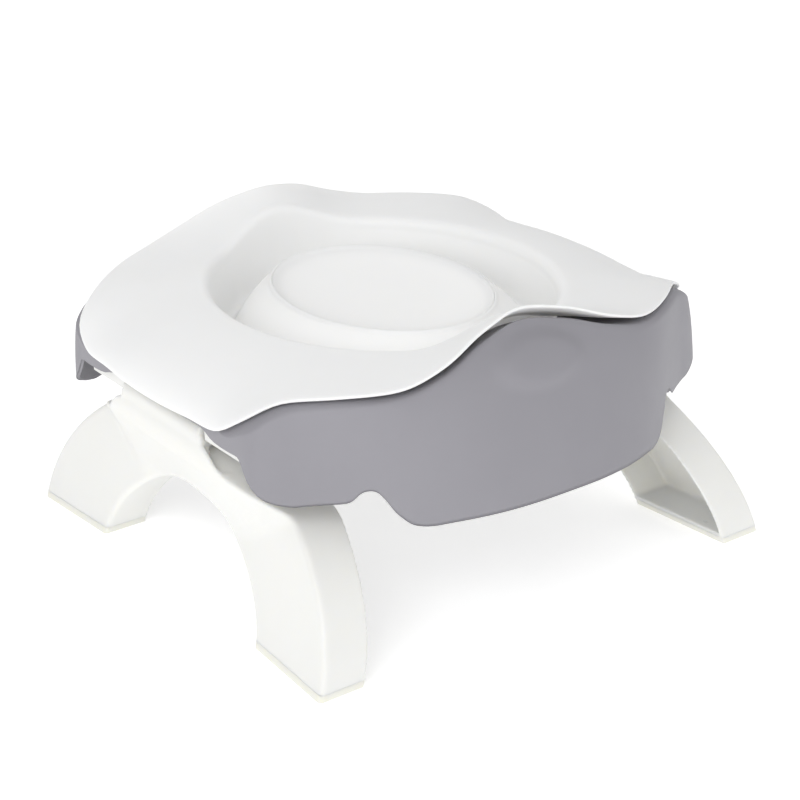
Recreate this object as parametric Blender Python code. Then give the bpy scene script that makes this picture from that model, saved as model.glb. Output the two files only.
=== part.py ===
"""Fold-leg travel potty with a collapsible silicone liner.

Metres, +Z up.  The origin is on the floor, under the middle of the seat.  +X runs to the right-hand leg and
-Y to the front.  The seat is the same on the left and right and on the front and back, so its outlines are
written for a quarter turn: 0 degrees is the front (or back) middle and 90 degrees is the side middle.
"""

from math import cos, degrees, atan2, hypot, pi, radians, sin, tan

import bmesh
import bpy
import numpy as np
from mathutils import Matrix, Vector

# ---------------------------------------------------------------- driving dimensions
GAP = 0.0003  # clearance between touching pieces

# Seat liner: the silicone sheet that lies on the seat body, its crest round the opening, and its gutter.
LINER_THICK = 0.0030
GUTTER_THICK = 0.0024
RIDGE_RX, RIDGE_RY = 0.1102, 0.1278
RIDGE_Z = 0.1666
GUARD_RISE, GUARD_HALF = 0.0153, 0.0589  # splash guard at the front and the back
RIDGE_SIDE_DROP = 0.0011
CREST_ROUND = 0.006
GUTTER_RX, GUTTER_RY = 0.0950, 0.1135
GUTTER_Z = 0.1300
GUTTER_HALF = 0.0035
SHEET_STATIONS = (0.0, 0.03, 0.10, 0.25, 0.50, 0.75, 0.92)  # shares of the way from the edge to the crest
SHEET_ROLL = 0.62  # below 1 the sheet rolls over towards its side edges
LINER_EDGE = (  # quarter-turn angle, radius, height of the sheet's lower outer corner
    (0.0, 0.1402, 0.1880), (12.0, 0.1491, 0.1825), (22.0, 0.1636, 0.1709), (32.0, 0.1750, 0.1628),
    (42.0, 0.1792, 0.1615), (52.0, 0.1824, 0.1596), (60.0, 0.1903, 0.1464), (66.0, 0.1868, 0.1348),
    (75.0, 0.1798, 0.1345), (90.0, 0.1761, 0.1341),
)

# Collapsible bowl, drawn pushed up, as it is stored.
BOWL_RIM_RX, BOWL_RIM_RY = 0.0639, 0.0875
BOWL_RIM_Z = 0.1616
BOWL_DISH_DEPTH = 0.0100
BOWL_THICK = 0.0024

# Seat body: one grey moulding, a ring plate with a front and a back apron.
BODY_THICK = 0.0028
STRIP_THICK = 0.0022  # the wall at the sides, above the hinges
BODY_OPENING = 0.0021  # between the liner's wall and the edge of the plate
SHEET_ROOM = 0.0006  # extra room under the sheet
GUARD_ROOM = 0.0040  # the splash guard stands clear of the plate at the front and the back
BODY_CREST = (  # quarter-turn angle, radius, height where the plate turns down into the apron
    (0.0, 0.1430, 0.1800), (12.0, 0.1518, 0.1760), (22.0, 0.1662, 0.1664), (32.0, 0.1778, 0.1590),
    (42.0, 0.1826, 0.1577), (50.0, 0.1866, 0.1560), (55.0, 0.1925, 0.1505), (58.0, 0.1958, 0.1445),
    (60.5, 0.1960, 0.1400), (62.5, 0.1905, 0.1350), (65.0, 0.1838, 0.1335), (68.0, 0.1785, 0.1385), (75.0, 0.1730, 0.1415),
    (90.0, 0.1672, 0.1425),
)
APRON_RADIUS = (  # quarter-turn angle, radius of the apron low down
    (0.0, 0.1875), (12.0, 0.1875), (24.0, 0.1866), (30.0, 0.1854), (37.4, 0.1850), (43.0, 0.1862),
    (48.0, 0.1892), (53.0, 0.1938), (57.0, 0.1932), (60.2, 0.1899), (62.5, 0.1858), (66.0, 0.1804),
    (75.0, 0.1706), (82.0, 0.1664), (90.0, 0.1648),
)
APRON_FOOT = (  # quarter-turn angle, height of the body's bottom edge
    (0.0, 0.0852), (9.0, 0.0844), (16.0, 0.0835), (23.0, 0.0823), (27.0, 0.0812), (29.5, 0.0822),
    (32.4, 0.0889), (33.6, 0.0936), (34.6, 0.0987), (35.4, 0.1020), (36.2, 0.1045), (37.3, 0.1053),
    (38.5, 0.1047), (39.6, 0.1023), (40.6, 0.0988), (42.3, 0.0974), (50.0, 0.0970), (53.0, 0.0994),
    (54.6, 0.1018), (56.3, 0.1060), (57.8, 0.1108), (58.8, 0.1154), (59.4, 0.1200), (59.9, 0.1240),
    (60.4, 0.1251), (68.0, 0.1251), (72.0, 0.1285), (90.0, 0.1285),
)
APRON_BASE_Z = 0.0852
APRON_BULGE = 0.55
APRON_LEAN = 0.35  # extra sideways thickness where the apron slopes

# Legs: two arched frames, hollow on the inside.  Half-widths are along Y.
FOOT_X = 0.1628  # outer face at the floor, at y = 0 (where the opening is)
LEG_BOW = 0.2217  # the outer face bows out by this times y squared
LEG_SPLAY = radians(15.1)
LEG_DEPTH = 0.0306
LEG_WALL = 0.0026
LEG_EDGE = 0.0060  # rounding between the outer face and the rims
ARCH_HALF, ARCH_TOP, ARCH_POWER = 0.1721, 0.1120, 1.94
OPEN_HALF, OPEN_TOP, OPEN_POWER = 0.0929, 0.0662, 1.70
NECK_HALF = 0.0480
NECK_THICK = 0.0080
NECK_FILLET, NECK_ROOT_Z = 0.0175, 0.1030
NECK_SET = 0.0002  # the neck's face lies this far inside the arch's
FLARE_LOW, FLARE_LOW_RIM, FLARE_HIGH = 0.052, 0.080, 0.1145
RIM_FLARE_Y = 0.110
PAD_THICK = 0.0042
PEG_R = 0.0020
PEG_Y, PEG_DEPTH = 0.135, 0.0150

# Hinges.
HINGE_X, HINGE_Z = 0.1570, 0.1195
KNUCKLE_R = 0.0082
KNUCKLE_HALF = 0.0465
KNUCKLE_GAP = 0.0023
ROD_R = 0.0020
ROD_BORE = 0.0023
DRILL_LOW, DRILL_HIGH = 0.130, 0.170  # heights between which the screw holes are cut through the plate
RAIL_HALF = 0.0905
RAIL_OUTER_X, RAIL_INNER_X = 0.1619, 0.1490
RAIL_BOTTOM_Z = 0.1160
RAIL_ROOF_Z = 0.1292  # underside of the rail's bridge over the knuckle
RAIL_ROOM = 0.0011  # between the rail and the plate above it
ROD_END = 0.0040  # from the rail's end to the rod's end
PLUG_R, PLUG_LENGTH = 0.0026, 0.0032
SPRING_THICK, SPRING_HALF = 0.0004, 0.0080
SCREW_X, SCREW_Y = 0.1528, 0.0760
SCREW_R, SCREW_HEAD_R, SCREW_HEAD = 0.0013, 0.0026, 0.0016
SCREW_HOLE_R = 0.0016

# Mesh fineness.
ARCH_STEPS = 22
ROUND_SIDES = 20

SIDES = (("left", -1), ("right", 1))
ENDS = (("front", -1), ("back", 1))

WHITE_PP = ((0.93, 0.93, 0.90), 0.38, 0.0)
SILICONE = ((0.94, 0.94, 0.93), 0.50, 0.0)
GREY_PP = ((0.38, 0.37, 0.41), 0.42, 0.0)
PAD_TPE = ((0.80, 0.79, 0.64), 0.45, 0.0)
STEEL = ((0.62, 0.62, 0.64), 0.30, 1.0)


# ---------------------------------------------------------------- scene and mesh helpers
def clear_scene():
    for obj in list(bpy.data.objects):
        bpy.data.objects.remove(obj, do_unlink=True)


def material(name, look):
    colour, roughness, metallic = look
    made = bpy.data.materials.new(name)
    made.use_nodes = True
    shader = made.node_tree.nodes["Principled BSDF"]
    shader.inputs["Base Color"].default_value = (*colour, 1.0)
    shader.inputs["Roughness"].default_value = roughness
    shader.inputs["Metallic"].default_value = metallic
    return made


def add_object(name, mesh, look=None, origin=(0, 0, 0)):
    """Links a mesh given in world coordinates as an object whose origin is at the given point."""
    mesh.transform(Matrix.Translation(-Vector(origin)))
    obj = bpy.data.objects.new(name, mesh)
    obj.location = origin
    bpy.context.scene.collection.objects.link(obj)
    if look is None:
        obj.hide_render = True
        obj.display_type = "WIRE"
    else:
        mesh.materials.append(look)
        mesh.shade_smooth()
        mesh.set_sharp_from_angle(angle=radians(35))
    return obj


def mesh_of(verts, faces, name="shape"):
    mesh = bpy.data.meshes.new(name)
    mesh.from_pydata([tuple(v) for v in verts], [], faces)
    shape = bmesh.new()
    shape.from_mesh(mesh)
    bmesh.ops.recalc_face_normals(shape, faces=shape.faces)
    bmesh.ops.triangulate(shape, faces=shape.faces)  # flat faces, so that a Boolean leaves no bent ones
    shape.to_mesh(mesh)
    shape.free()
    return mesh


def boolean(obj, cutter, operation="DIFFERENCE"):
    step = obj.modifiers.new(operation.title(), "BOOLEAN")
    step.operation = operation
    step.object = cutter
    step.solver = "EXACT"


def cylinder(start, end, radius, sides=ROUND_SIDES):
    """A closed round bar between two points, in world coordinates."""
    start, end = Vector(start), Vector(end)
    turn = (end - start).to_track_quat("Z", "Y").to_matrix()
    rings = []
    for middle in (start, end):
        rings.append([middle + turn @ Vector((radius * cos(a), radius * sin(a), 0))
                      for a in np.linspace(0, 2 * pi, sides, endpoint=False)])
    faces = [(i, (i + 1) % sides, sides + (i + 1) % sides, sides + i) for i in range(sides)]
    faces += [tuple(range(sides))[::-1], tuple(range(sides, 2 * sides))]
    return mesh_of(rings[0] + rings[1], faces)


def prism_along_y(outline_xz, y_low, y_high):
    """A closed prism whose (x, z) outline is the same all along Y."""
    count = len(outline_xz)
    verts = [(x, y, z) for y in (y_low, y_high) for x, z in outline_xz]
    faces = [(i, (i + 1) % count, count + (i + 1) % count, count + i) for i in range(count)]
    faces += [tuple(range(count)), tuple(range(count, 2 * count))[::-1]]
    return mesh_of(verts, faces)


def sweep(sections):
    """A closed bar through equal closed outlines, with an end face at the first and at the last."""
    count = len(sections[0])
    verts = [point for section in sections for point in section]
    faces = []
    for k in range(len(sections) - 1):
        for i in range(count):
            j = (i + 1) % count
            faces.append((k * count + i, k * count + j, (k + 1) * count + j, (k + 1) * count + i))
    faces += [tuple(range(count)), tuple(range(len(verts) - count, len(verts)))[::-1]]
    return mesh_of(verts, faces)


def loft(sections):
    """A closed ring through equal closed outlines, the last joined to the first."""
    count = len(sections[0])
    verts = [point for section in sections for point in section]
    faces = []
    for k in range(len(sections)):
        here, there = k * count, (k + 1) % len(sections) * count
        faces += [(here + i, here + (i + 1) % count, there + (i + 1) % count, there + i) for i in range(count)]
    return mesh_of(verts, faces)


# ---------------------------------------------------------------- outlines of the seat
def from_table(table, angle, column=1):
    """Smooth value at a quarter-turn angle, level at both ends of the quarter."""
    xs = [row[0] for row in table]
    ys = [row[column] for row in table]
    k = max(0, min(len(xs) - 2, int(np.searchsorted(xs, angle, side="right")) - 1))

    def slope(i):
        if i in (0, len(xs) - 1):
            return 0.0
        left = (ys[i] - ys[i - 1]) / (xs[i] - xs[i - 1])
        right = (ys[i + 1] - ys[i]) / (xs[i + 1] - xs[i])
        return 0.0 if left * right <= 0 else 2 * left * right / (left + right)

    span = xs[k + 1] - xs[k]
    t = (angle - xs[k]) / span
    return (
        ys[k] * (2 * t**3 - 3 * t**2 + 1) + ys[k + 1] * (3 * t**2 - 2 * t**3)
        + span * (slope(k) * (t**3 - 2 * t**2 + t) + slope(k + 1) * (t**3 - t**2))
    )


def ellipse_radius(rx, ry, angle):
    """Radius of an ellipse at an angle measured from its Y axis."""
    a = radians(angle)
    return 1 / hypot(sin(a) / rx, cos(a) / ry)


def ridge(angle):
    """Radius and height of the crest round the opening."""
    radius = ellipse_radius(RIDGE_RX, RIDGE_RY, angle)
    x = radius * sin(radians(angle))
    rise = GUARD_RISE * cos(pi * x / (2 * GUARD_HALF)) ** 2 if x < GUARD_HALF else 0.0
    return radius, RIDGE_Z + rise - RIDGE_SIDE_DROP * (x / RIDGE_RX) ** 2


def sheet_line(angle):
    """Top of the liner's sheet as (radius, height) from its outer edge in to the crest."""
    rolled = sin(radians(angle)) ** 2
    edge_r = from_table(LINER_EDGE, angle, 1)
    edge_z = from_table(LINER_EDGE, angle, 2) + LINER_THICK * (1 - 0.75 * rolled * rolled)
    crest_r, crest_z = ridge(angle)
    line = []
    for t in SHEET_STATIONS:
        share = (1 - rolled) * t + rolled * sin(pi / 2 * t**SHEET_ROLL)
        line.append((edge_r + (crest_r - edge_r) * t, edge_z + (crest_z - edge_z) * share))
    return line


def offset_line(line, distances):
    """The line moved to the right of its direction of travel by one distance for each point."""
    moved = []
    for i, (r, z) in enumerate(line):
        before = line[max(i - 1, 0)]
        after = line[min(i + 1, len(line) - 1)]
        ahead = np.array([after[0] - r, after[1] - z])
        behind = np.array([r - before[0], z - before[1]])
        ahead = ahead / np.linalg.norm(ahead) if np.linalg.norm(ahead) else behind / np.linalg.norm(behind)
        behind = behind / np.linalg.norm(behind) if np.linalg.norm(behind) else ahead
        tangent = (ahead + behind) / np.linalg.norm(ahead + behind)
        mitre = 1 / max(0.6, float(tangent @ ahead))
        moved.append((r + tangent[1] * distances[i] * mitre, z - tangent[0] * distances[i] * mitre))
    return moved


def place(angle_full, radius, height):
    """World point at a plan angle counted from +X, for a radius and a height."""
    return radius * cos(angle_full), radius * sin(angle_full), height


def full_turn(quarter_angles):
    """(plan angle from +X, quarter-turn angle) all the way round, from angles of one quarter."""
    quarter = sorted(quarter_angles, reverse=True)  # 90 is the side, 0 is the front
    turn = []
    for k in range(4):
        part = quarter[:-1] if k % 2 == 0 else quarter[::-1][:-1]
        for q in part:
            turn.append((radians(90 * k + (90 - q if k % 2 == 0 else q)), q))
    return turn


def ring_solid(quarter_angles, outline):
    """A closed ring from a closed (radius, height) outline given at each quarter-turn angle."""
    sections = []
    for around, q in full_turn(quarter_angles):
        sections.append([place(around, r, z) for r, z in outline(q)])
    return loft(sections)


# ---------------------------------------------------------------- liner and bowl
def liner_outline(q):
    edge_and_sheet = sheet_line(q)
    crest_r, crest_z = ridge(q)
    wall_r = crest_r - CREST_ROUND
    gutter_r = ellipse_radius(GUTTER_RX, GUTTER_RY, q)
    line = list(edge_and_sheet)
    for turn in (0, 35, 70):
        line.append((crest_r - CREST_ROUND * sin(radians(turn)),
                     crest_z - CREST_ROUND * (1 - cos(radians(turn)))))
    line.append((wall_r - 0.0002, crest_z - CREST_ROUND * 1.4))
    line.append((gutter_r + GUTTER_HALF + 0.0016, GUTTER_Z + 0.0060))
    line.append((gutter_r + GUTTER_HALF - 0.0006, GUTTER_Z + 0.0012))
    line.append((gutter_r + 0.0008, GUTTER_Z))
    line.append((gutter_r - GUTTER_HALF, GUTTER_Z))
    thick = [LINER_THICK] * (len(SHEET_STATIONS) + 4) + [GUTTER_THICK] * 4
    under = offset_line(line, [-t for t in thick])
    # The outer edge is rounded by pulling the middle of its thickness outwards.
    bulge = (line[0][0] + LINER_THICK * 0.35, (line[0][1] + under[0][1]) / 2)
    return line + under[::-1] + [bulge]


def make_liner(look):
    angles = [0, 7.5, 15, 22.5, 30, 37.5, 45, 50, 54, 57, 60, 63, 66, 71, 76, 83, 90]
    return add_object("liner_seat", ring_solid(angles, liner_outline), look)


def bowl_wall_outline(q):
    gutter_r = ellipse_radius(GUTTER_RX, GUTTER_RY, q) - GUTTER_HALF - GAP
    rim_r = ellipse_radius(BOWL_RIM_RX, BOWL_RIM_RY, q) + 0.0014
    top_z = BOWL_RIM_Z - 0.0040
    line = []
    for t in (0.0, 0.1, 0.4, 0.7, 1.0):
        belly = 0.0016 * sin(pi * t)
        line.append((gutter_r + (rim_r - gutter_r) * t + belly,
                     GUTTER_Z + (top_z - GUTTER_Z) * t**1.05 + belly))
    return line + offset_line(line, [-BOWL_THICK] * 5)[::-1]


def make_bowl_wall(look):
    angles = np.arange(0, 90.01, 10)
    return add_object("bowl_wall", ring_solid(angles, bowl_wall_outline), look)


def make_bowl_cup(look):
    """The oval rim and the dished disc inside it, one closed plate."""
    rim_under = BOWL_RIM_Z - 0.0036
    top = ((1.0, BOWL_RIM_Z - 0.0012), (0.985, BOWL_RIM_Z), (0.955, BOWL_RIM_Z - 0.0004),
           (0.93, BOWL_RIM_Z - 0.0030), (0.84, BOWL_RIM_Z - 0.0062), (0.55, BOWL_RIM_Z - 0.0092))
    under = ((1.0, rim_under), (0.93, rim_under - 0.0022), (0.84, BOWL_RIM_Z - 0.0062 - BOWL_THICK),
             (0.55, BOWL_RIM_Z - 0.0092 - BOWL_THICK))
    turn = full_turn(np.arange(0, 90.01, 10))
    count = len(turn)

    def ring(scale, z):
        return [place(a, scale * ellipse_radius(BOWL_RIM_RX, BOWL_RIM_RY, q), z) for a, q in turn]

    rings = [ring(*level) for level in reversed(top)] + [ring(*level) for level in under]
    verts = [point for one in rings for point in one]
    faces = []
    for k in range(len(rings) - 1):
        for i in range(count):
            j = (i + 1) % count
            faces.append((k * count + i, k * count + j, (k + 1) * count + j, (k + 1) * count + i))
    top_middle, under_middle = len(verts), len(verts) + 1
    verts += [(0, 0, BOWL_RIM_Z - BOWL_DISH_DEPTH), (0, 0, BOWL_RIM_Z - BOWL_DISH_DEPTH - BOWL_THICK)]
    last = (len(rings) - 1) * count
    for i in range(count):
        j = (i + 1) % count
        faces.append((top_middle, j, i))
        faces.append((under_middle, last + i, last + j))
    return add_object("bowl_cup", mesh_of(verts, faces), look)


# ---------------------------------------------------------------- seat body
def plate_line(q):
    """Top of the body's plate as (radius, height): it follows the liner's underside out to the crest."""
    crest_r, crest_z = from_table(BODY_CREST, q, 1), from_table(BODY_CREST, q, 2)
    ridge_r, ridge_z = ridge(q)
    open_r = ridge_r - CREST_ROUND + LINER_THICK + BODY_OPENING
    sheet = [(ridge_r, ridge_z)] + sheet_line(q)[::-1]
    under = offset_line(sheet, [LINER_THICK + GAP + SHEET_ROOM] * len(sheet))
    room = GUARD_ROOM * cos(radians(min(90, 2 * q)))
    line = []
    for t in (0.0, 0.3, 0.65, 0.9):
        r = open_r + (crest_r - open_r) * t
        z = float(np.interp(r, [p[0] for p in under], [p[1] for p in under]))
        if r > under[-1][0]:
            z += (crest_z - z) * (r - under[-1][0]) / (crest_r - under[-1][0])
        line.append((r, z - max(0.0, room)))
    return line


def apron_line(q):
    """Outside of the apron as (radius, height), from the crest down to the bottom edge."""
    crest_r, crest_z = from_table(BODY_CREST, q, 1), from_table(BODY_CREST, q, 2)
    low_r = from_table(APRON_RADIUS, q)
    foot_z = from_table(APRON_FOOT, q)
    line = []
    for t in (0.0, 0.15, 0.38, 0.68, 1.0):
        z = crest_z + (foot_z - crest_z) * t
        w = min(1.0, (crest_z - z) / (crest_z - APRON_BASE_Z))
        share = (1 - APRON_BULGE) * w + APRON_BULGE * (1 - (1 - w) ** 4)
        line.append((crest_r + (low_r - crest_r) * share, z))
    return line


def body_outline(q):
    plate, apron = plate_line(q), apron_line(q)
    below = offset_line(plate + apron[:2], [BODY_THICK] * 6)[:4]
    foot_z = apron[-1][1]
    rs, zs = [r for r, _ in below], [z for _, z in below]
    slope = (zs[-1] - zs[-2]) / (rs[-1] - rs[-2])
    thick = BODY_THICK + (STRIP_THICK - BODY_THICK) * sin(radians(q)) ** 2
    inner = []
    for r, z in apron[1:]:
        lean = 1.0 + APRON_LEAN * max(0.0, 1 - (apron[0][1] - z) / 0.03) * cos(radians(q))
        inner.append([r - thick * lean, z])
    corner_r = apron[0][0] - thick * (1.0 + 0.5 * APRON_LEAN * cos(radians(q)))
    corner_z = max(zs[-1] + slope * (corner_r - rs[-1]), foot_z + 0.0010)
    inner = [[corner_r, corner_z]] + inner
    for k in range(1, len(inner)):
        t = k / (len(inner) - 1)
        inner[k][1] = min(inner[k][1], corner_z + (foot_z - corner_z) * t)
    inner[-1][1] = foot_z
    below = [(r, max(z, foot_z + 0.0012)) for r, z in below]
    return plate + apron + [tuple(p) for p in inner[::-1]] + below[::-1]


def body_angles():
    """Quarter-turn angles of the sections: closer together at the notch and at the lobe's end."""
    wide = [0.0, 7.5, 15.0, 22.5, 27.0, 30.0, 32.0]
    notch = [33.5, 34.8, 36.0, 37.3, 38.6, 39.8, 41.0]
    lobe = [43.5, 48.0, 52.0, 55.0, 57.2, 58.7, 59.6, 60.4]
    side = [62.5, 65.0, 68.0, 72.5, 80.0, 90.0]
    return wide + notch + lobe + side


def make_body(look):
    body = add_object("seat_body", ring_solid(body_angles(), body_outline), look)
    for side, sign in SIDES:
        for end, way in ENDS:
            x, y = sign * SCREW_X, way * SCREW_Y
            hole = add_object(f"cut_body_{side}_{end}", cylinder((x, y, DRILL_LOW), (x, y, DRILL_HIGH), SCREW_HOLE_R, 12))
            boolean(body, hole)
    return body


# ---------------------------------------------------------------- legs
def face_x(y, z):
    """Outer face of the right leg: splayed low down, flaring back out to the hinge."""
    plain = FOOT_X + LEG_BOW * y * y - tan(LEG_SPLAY) * z
    low = FLARE_LOW + (FLARE_LOW_RIM - FLARE_LOW) * min(1.0, (y / RIM_FLARE_Y) ** 2)
    t = min(1.0, max(0.0, (z - low) / (FLARE_HIGH - low)))
    reach = HINGE_X + KNUCKLE_R - (FOOT_X - tan(LEG_SPLAY) * FLARE_HIGH)
    straight = max(0.0, z - FLARE_HIGH) * tan(LEG_SPLAY)
    return plain + reach * t * t * (3 - 2 * t) + straight


def superellipse(half, top, power, t):
    c, s = cos(t), sin(t)
    return half * np.sign(c) * abs(c) ** (2 / power), top * max(s, 0.0) ** (2 / power)


def arch_solid(inset, depth_low, depth_high, cut_z, edge, across=3):
    """The band between the arch and its opening, swept from foot to foot.

    inset pulls both rims in, the depths are counted inwards from the outer face, everything below cut_z is
    cut off, and edge rounds the two edges of the outer face.
    """
    stations = []
    for k in range(ARCH_STEPS + 1):
        t = pi * k / ARCH_STEPS
        outer = np.array(superellipse(ARCH_HALF - inset, ARCH_TOP - inset, ARCH_POWER, t))
        inner = np.array(superellipse(OPEN_HALF + inset, OPEN_TOP + inset, OPEN_POWER, t))
        if k in (0, ARCH_STEPS):
            outer[1] = inner[1] = -0.004
        stations.append((outer, inner))
    sections = []
    for outer, inner in stations:
        width = float(np.linalg.norm(outer - inner))
        way = (inner - outer) / width
        flat = [(0.0, depth_high)]
        if edge:
            flat += [(edge * (1 - cos(a)), depth_low + edge * (1 - sin(a))) for a in np.radians((0, 45, 90))]
            flat += [(edge + (width - 2 * edge) * f, depth_low) for f in np.linspace(0, 1, across + 1)[1:-1]]
            flat += [(width - edge * (1 - cos(a)), depth_low + edge * (1 - sin(a)))
                     for a in np.radians((90, 45, 0))]
        else:
            flat += [(width * f, depth_low) for f in np.linspace(0, 1, across + 1)]
        flat += [(width, depth_high)]
        flat += [(width * f, depth_high) for f in (0.66, 0.33)]
        section = []
        for along, depth in flat:
            y, z = outer + way * along
            section.append((face_x(y, z) - depth, y, z))
        sections.append(section)
    return cut_level(sweep(sections), cut_z, keep_above=True)


def cut_level(mesh, z, keep_above):
    """Cuts a closed mesh at a height, keeps one side and closes the cut."""
    shape = bmesh.new()
    shape.from_mesh(mesh)
    everything = shape.verts[:] + shape.edges[:] + shape.faces[:]
    bmesh.ops.bisect_plane(shape, geom=everything, dist=1e-7, plane_co=(0, 0, z), plane_no=(0, 0, 1),
                           clear_inner=keep_above, clear_outer=not keep_above)
    bmesh.ops.holes_fill(shape, edges=[e for e in shape.edges if e.is_boundary])
    bmesh.ops.recalc_face_normals(shape, faces=shape.faces)
    bmesh.ops.triangulate(shape, faces=shape.faces)
    shape.to_mesh(mesh)
    shape.free()
    return mesh


def mirror_x(mesh):
    mesh.transform(Matrix.Diagonal((-1, 1, 1, 1)))
    mesh.flip_normals()
    return mesh


def leg_pieces(side, sign, looks):
    """Leg, its knuckle and neck, and its two foot pads."""
    def put(name, mesh, look=None, origin=(0, 0, 0)):
        if sign < 0:
            mesh = mirror_x(mesh)
            origin = (-origin[0], origin[1], origin[2])
        return add_object(name, mesh, look, origin)

    pivot = (HINGE_X, 0, HINGE_Z)
    leg = put(f"{side}_leg", arch_solid(0.0, 0.0, LEG_DEPTH, PAD_THICK + GAP, LEG_EDGE), looks["leg"], pivot)
    floor_top = PAD_THICK + GAP + LEG_WALL
    hollow = put(f"cut_{side}_hollow", arch_solid(LEG_WALL, LEG_WALL, LEG_DEPTH + 0.02, floor_top, 0.0, 2))
    boolean(leg, hollow)
    knuckle = put(f"cut_{side}_knuckle",
                  cylinder((HINGE_X, -KNUCKLE_HALF, HINGE_Z), (HINGE_X, KNUCKLE_HALF, HINGE_Z), KNUCKLE_R, 28))
    boolean(leg, knuckle, "UNION")
    neck = put(f"cut_{side}_neck", neck_plate())
    boolean(leg, neck, "UNION")
    bore = put(f"cut_{side}_bore",
               cylinder((HINGE_X, -0.06, HINGE_Z), (HINGE_X, 0.06, HINGE_Z), ROD_BORE, 16))
    boolean(leg, bore)
    for end, way in ENDS:
        y = way * PEG_Y
        x = face_x(PEG_Y, 0) - PEG_DEPTH
        hole = put(f"cut_{side}_{end}_peg", cylinder((x, y, 0.002), (x, y, 0.012), PEG_R + GAP, 14))
        boolean(leg, hole)
        pad = put(f"{side}_{end}_foot_pad", pad_solid(way), looks["pad"], (face_x(PEG_Y, 0), way * PEG_Y, 0))
        peg = put(f"cut_{side}_{end}_pad_peg",
                  cylinder((x, y, PAD_THICK - 0.001), (x, y, floor_top + 0.0006), PEG_R, 14))
        boolean(pad, peg, "UNION")


def pad_solid(way):
    """One foot's soft sole: the leg's own outline between the floor and the foot."""
    mesh = arch_solid(0.0002, 0.0002, LEG_DEPTH - 0.0002, -0.003, LEG_EDGE)
    mesh = cut_level(mesh, 0.0, keep_above=True)
    mesh = cut_level(mesh, PAD_THICK, keep_above=False)
    shape = bmesh.new()
    shape.from_mesh(mesh)
    other = [v for v in shape.verts if v.co.y * way < 0]
    bmesh.ops.delete(shape, geom=other, context="VERTS")
    shape.to_mesh(mesh)
    shape.free()
    return mesh


def neck_plate():
    """Plate between the arch and the knuckle: a flat-ended tab with a hollow round on each side."""
    low_z, top_z = 0.0960, HINGE_Z
    right = [(NECK_HALF + NECK_FILLET, low_z), (NECK_HALF + NECK_FILLET, NECK_ROOT_Z)]
    right += [(NECK_HALF + NECK_FILLET - NECK_FILLET * 1.015 * sin(a), NECK_ROOT_Z + (top_z - NECK_ROOT_Z) * (1 - cos(a)))
              for a in np.radians((25, 45, 65, 90))]
    outline = [(-y, z) for y, z in right] + right[::-1]
    count = len(outline)
    verts = []
    for depth in (0.0, 0.0023, NECK_THICK):
        for y, z in outline:
            shrink = min(1.0, (KNUCKLE_HALF - 0.0005) / abs(y)) if depth > 0.003 and z > 0.107 else 1.0
            verts.append((face_x(y, z) - NECK_SET - depth, y * shrink, z))
    faces = []
    for k in range(2):
        for i in range(count):
            j = (i + 1) % count
            faces.append((k * count + i, k * count + j, (k + 1) * count + j, (k + 1) * count + i))
    faces.append(tuple(range(count)))
    faces.append(tuple(range(2 * count, 3 * count))[::-1])
    return mesh_of(verts, faces)


# ---------------------------------------------------------------- hinge hardware
def plate_under_z(x, y):
    """Underside of the seat body's plate above a point near the hinge."""
    q = degrees(atan2(abs(x), abs(y)))
    line = offset_line(plate_line(q) + apron_line(q)[:1], [BODY_THICK] * 5)
    return float(np.interp(hypot(x, y), [r for r, _ in line], [z for _, z in line]))


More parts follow.
